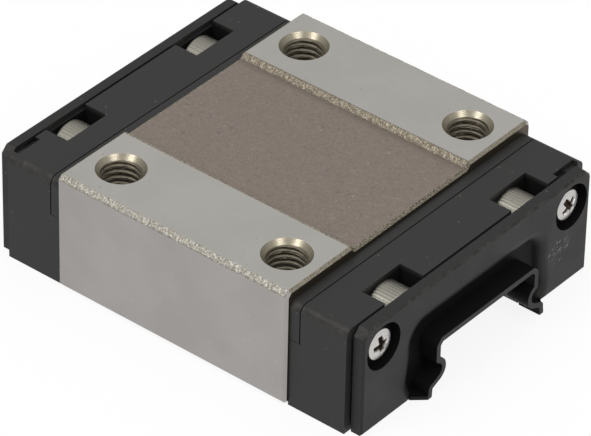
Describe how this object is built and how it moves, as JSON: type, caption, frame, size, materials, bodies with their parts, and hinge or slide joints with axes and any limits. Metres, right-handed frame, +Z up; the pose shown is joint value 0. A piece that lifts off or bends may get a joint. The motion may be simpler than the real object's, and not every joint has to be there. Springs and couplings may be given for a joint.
{
  "type": "linear guide carriage",
  "caption": "Low steel block that runs on a profile rail on recirculating balls, with black end caps, lipped end seals and tapped holes in its top for fastening a load.",
  "frame": {"origin": "under the middle of the carriage, level with the lowest faces of the end caps", "axes": "+X along the rail towards the front end cap, +Y across the rail to the left, +Z up out of the mounting face"},
  "size_m": [0.0348, 0.027, 0.0097],
  "materials": {
    "ground_steel": "ground",
    "black_plastic": "satin",
    "black_rubber": "satin",
    "screw_steel": "plated",
    "spring_steel": "bright",
    "ball_steel": "polished"
  },
  "bodies": {
    "root": {"steel_block": "ground_steel", "front_end_cap": "black_plastic", "front_return_plate": "black_plastic", "front_end_seal": "black_rubber", "front_cap_screws": "screw_steel", "front_seal_screws": "screw_steel", "front_left_turn_guide": "black_plastic", "front_right_turn_guide": "black_plastic", "rear_end_cap": "black_plastic", "rear_return_plate": "black_plastic", "rear_end_seal": "black_rubber", "rear_cap_screws": "screw_steel", "rear_seal_screws": "screw_steel", "rear_left_turn_guide": "black_plastic", "rear_right_turn_guide": "black_plastic", "left_ball_retainer": "spring_steel", "left_load_balls": "ball_steel", "left_return_balls": "ball_steel", "right_ball_retainer": "spring_steel", "right_load_balls": "ball_steel", "right_return_balls": "ball_steel"}
  },
  "joints": []
}
